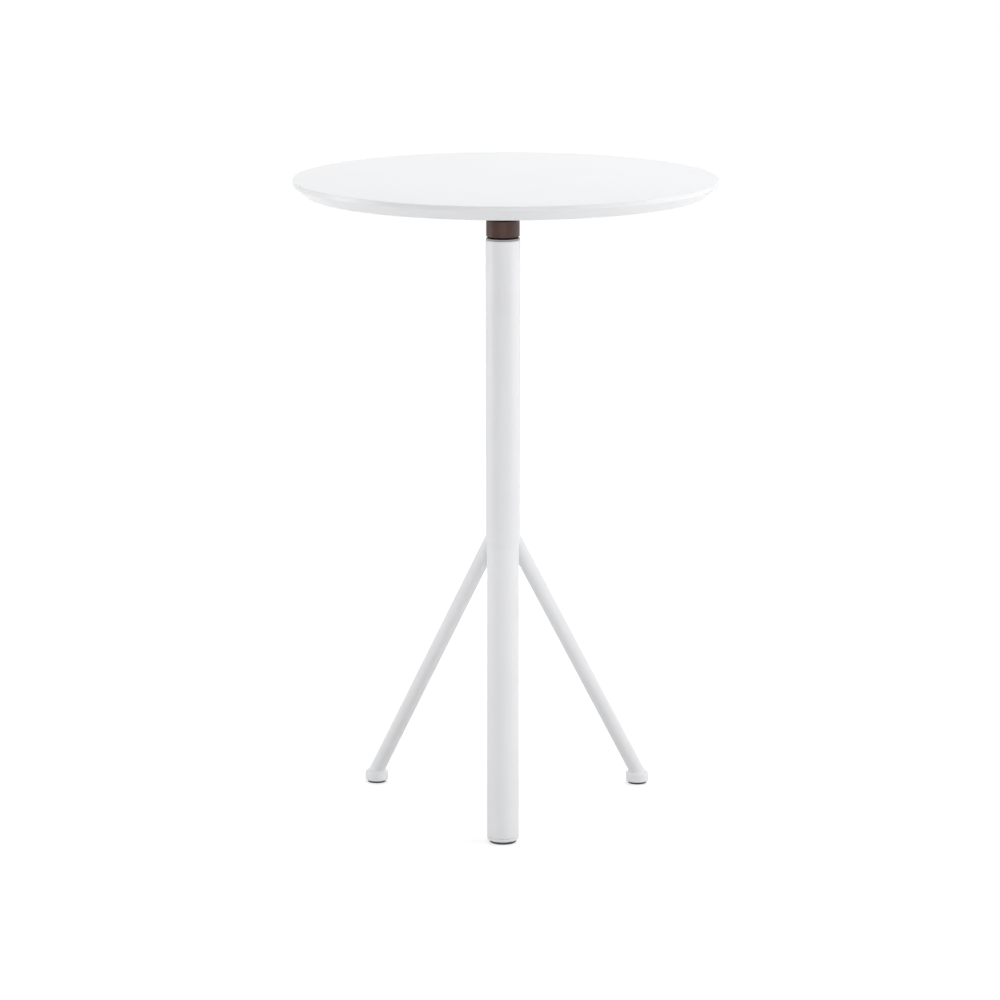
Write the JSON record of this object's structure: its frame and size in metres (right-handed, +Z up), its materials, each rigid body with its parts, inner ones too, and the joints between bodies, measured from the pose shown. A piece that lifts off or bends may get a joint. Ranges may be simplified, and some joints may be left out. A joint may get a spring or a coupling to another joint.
{
  "type": "bar table",
  "caption": "Round bar table: tilting top on a contrasting neck, a column whose foot is the front leg of a tripod, slim side legs.",
  "frame": {"origin": "on the floor under the middle of the round top, which is also the middle of the triangle of feet", "axes": "+Z up, -Y towards the column and front foot, +X to the right seen from the front"},
  "size_m": [0.7, 0.7, 1.055],
  "materials": {
    "white_coat": "fine textured powder coat, satin",
    "white_board": "white laminate on board, satin",
    "white_plastic": "moulded, satin",
    "brown_coat": "brown powder coat on a casting, satin",
    "grey_plastic": "moulded, satin",
    "dark_plastic": "moulded, matt",
    "dark_rubber": "matt",
    "nylon": "natural nylon",
    "zinc_steel": "zinc plated"
  },
  "bodies": {
    "base": {"column_tube": "white_coat", "front_leg_tube": "white_coat", "column_sleeve": "zinc_steel", "set_screw_left": "zinc_steel", "set_screw_right": "zinc_steel", "side_leg_left": "white_coat", "side_leg_right": "white_coat", "foot_cup_left": "white_coat", "foot_cup_right": "white_coat", "front_foot_plug": "white_plastic", "thread_insert": "zinc_steel", "neck_washer": "grey_plastic", "neck_seal": "dark_rubber", "rest_pad": "dark_rubber", "head_casting": "brown_coat", "pivot_bush_left": "nylon", "pivot_bush_right": "nylon"},
    "top": {"tabletop": "white_board", "mounting_plate": "zinc_steel", "plate_screw_1": "zinc_steel", "plate_screw_2": "zinc_steel", "plate_screw_3": "zinc_steel", "plate_screw_4": "zinc_steel", "plate_screw_5": "zinc_steel", "plate_screw_6": "zinc_steel", "pivot_bolt": "zinc_steel", "pivot_washer_left": "zinc_steel", "pivot_washer_right": "zinc_steel", "cam_pad": "dark_plastic"},
    "lever": {"lock_lever": "dark_plastic", "lever_pin": "zinc_steel"},
    "glide_front": {"glide_disc_front": "dark_plastic", "glide_stud_front": "zinc_steel"},
    "glide_left": {"glide_disc_left": "dark_plastic", "glide_stud_left": "zinc_steel"},
    "glide_right": {"glide_disc_right": "dark_plastic", "glide_stud_right": "zinc_steel"}
  },
  "joints": [
    {"name": "top_tilt", "type": "hinge", "parent": "base", "child": "top", "pos_m": [0, 0.03, 1.006], "axis": [-1, 0, 0], "range_deg": [0, 90]},
    {"name": "lock_lever_swing", "type": "hinge", "parent": "top", "child": "lever", "pos_m": [0.0403, 0.03, 1.006], "axis": [0, 0, -1], "range_deg": [0, 90]},
    {"name": "glide_front_screw", "type": "slide", "parent": "base", "child": "glide_front", "axis": [0, 0, -1], "range_m": [0, 0.008]},
    {"name": "glide_left_screw", "type": "slide", "parent": "base", "child": "glide_left", "axis": [0, 0, -1], "range_m": [0, 0.008]},
    {"name": "glide_right_screw", "type": "slide", "parent": "base", "child": "glide_right", "axis": [0, 0, -1], "range_m": [0, 0.008]}
  ]
}
